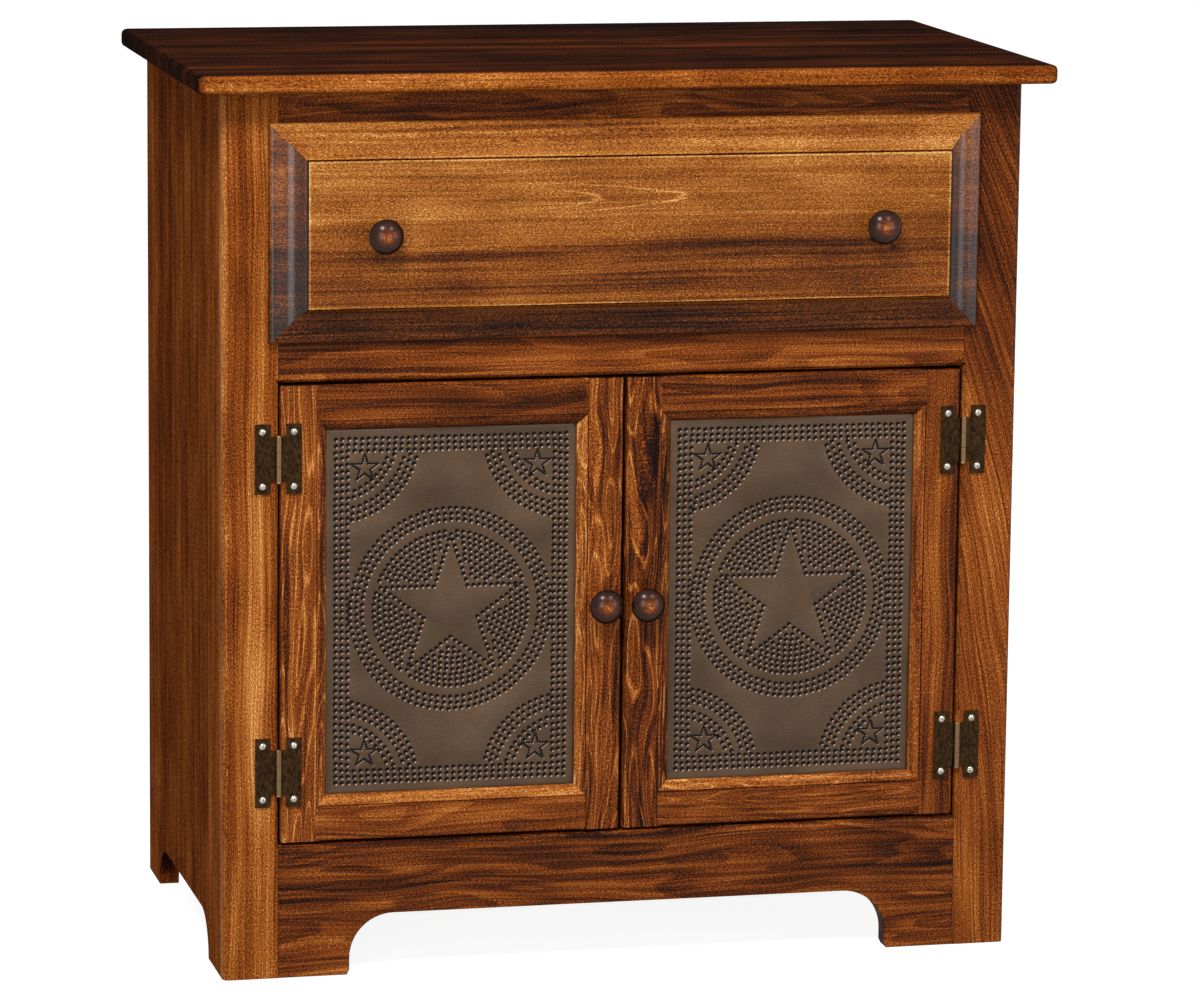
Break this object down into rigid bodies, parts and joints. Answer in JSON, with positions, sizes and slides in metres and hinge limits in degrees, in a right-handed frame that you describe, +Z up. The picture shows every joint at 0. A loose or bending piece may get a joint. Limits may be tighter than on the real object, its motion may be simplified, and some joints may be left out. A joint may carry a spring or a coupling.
{
  "type": "pie safe",
  "caption": "Low wooden pie safe: a wide drawer over paired doors with punched-tin panels, arched bracket feet and an overhanging top.",
  "frame": {"origin": "on the floor under the middle of the whole object's box", "axes": "+Z up, the doors and drawer face -Y, +X to the right as seen from the front"},
  "size_m": [0.814, 0.5006, 0.8505],
  "materials": {
    "stained_wood": "satin lacquer over brown stain",
    "top_wood": "satin lacquer over dark stain",
    "knob_wood": "gloss lacquer over dark stain",
    "drawer_wood": "clear satin lacquer",
    "inner_wood": "bare planed wood",
    "plywood": "satin lacquered plywood",
    "punched_tin": "aged dark tin",
    "hinge_bronze": "antique bronze",
    "bright_steel": "nickel plated",
    "catch_body": "brown moulded plastic"
  },
  "bodies": {
    "cabinet": {"back_panel": "plywood", "bottom_apron": "stained_wood", "cabinet_floor": "stained_wood", "door_catches": "catch_body", "frame_hinge_screws": "bright_steel", "hinge_pins": "bright_steel", "left_drawer_kicker": "inner_wood", "left_drawer_runner": "inner_wood", "left_frame_hinge_leaves": "hinge_bronze", "left_side": "stained_wood", "left_stile": "stained_wood", "left_top_cleat": "inner_wood", "middle_rail": "stained_wood", "rear_top_rail": "inner_wood", "right_drawer_kicker": "inner_wood", "right_drawer_runner": "inner_wood", "right_frame_hinge_leaves": "hinge_bronze", "right_side": "stained_wood", "right_stile": "stained_wood", "right_top_cleat": "inner_wood", "shelf": "stained_wood", "shelf_pins": "bright_steel", "top_board": "top_wood", "top_rail": "stained_wood", "top_screws": "bright_steel"},
    "drawer": {"drawer_bottom": "plywood", "drawer_box_back": "drawer_wood", "drawer_box_front": "drawer_wood", "drawer_front": "stained_wood", "drawer_front_screws": "bright_steel", "drawer_knob_screws": "bright_steel", "drawer_left_knob": "knob_wood", "drawer_left_side": "drawer_wood", "drawer_right_knob": "knob_wood", "drawer_right_side": "drawer_wood", "drawer_stop_button": "drawer_wood", "drawer_stop_screw": "bright_steel"},
    "left_door": {"left_door_bottom_rail": "stained_wood", "left_door_hinge_leaves": "hinge_bronze", "left_door_hinge_screws": "bright_steel", "left_door_hinge_stile": "stained_wood", "left_door_knob": "knob_wood", "left_door_knob_screw": "bright_steel", "left_door_meeting_stile": "stained_wood", "left_door_panel_strips": "stained_wood", "left_door_strike_plate": "bright_steel", "left_door_tin_panel": "punched_tin", "left_door_top_rail": "stained_wood"},
    "right_door": {"right_door_bottom_rail": "stained_wood", "right_door_hinge_leaves": "hinge_bronze", "right_door_hinge_screws": "bright_steel", "right_door_hinge_stile": "stained_wood", "right_door_knob": "knob_wood", "right_door_knob_screw": "bright_steel", "right_door_meeting_stile": "stained_wood", "right_door_panel_strips": "stained_wood", "right_door_strike_plate": "bright_steel", "right_door_tin_panel": "punched_tin", "right_door_top_rail": "stained_wood"}
  },
  "joints": [
    {"name": "drawer_slide", "type": "slide", "parent": "cabinet", "child": "drawer", "axis": [0, -1, 0], "range_m": [0, 0.357]},
    {"name": "left_door_hinge", "type": "hinge", "parent": "cabinet", "child": "left_door", "pos_m": [-0.329, -0.20275, 0.3455], "axis": [0, 0, -1], "range_deg": [0, 170]},
    {"name": "right_door_hinge", "type": "hinge", "parent": "cabinet", "child": "right_door", "pos_m": [0.329, -0.20275, 0.3455], "axis": [0, 0, 1], "range_deg": [0, 170]}
  ]
}
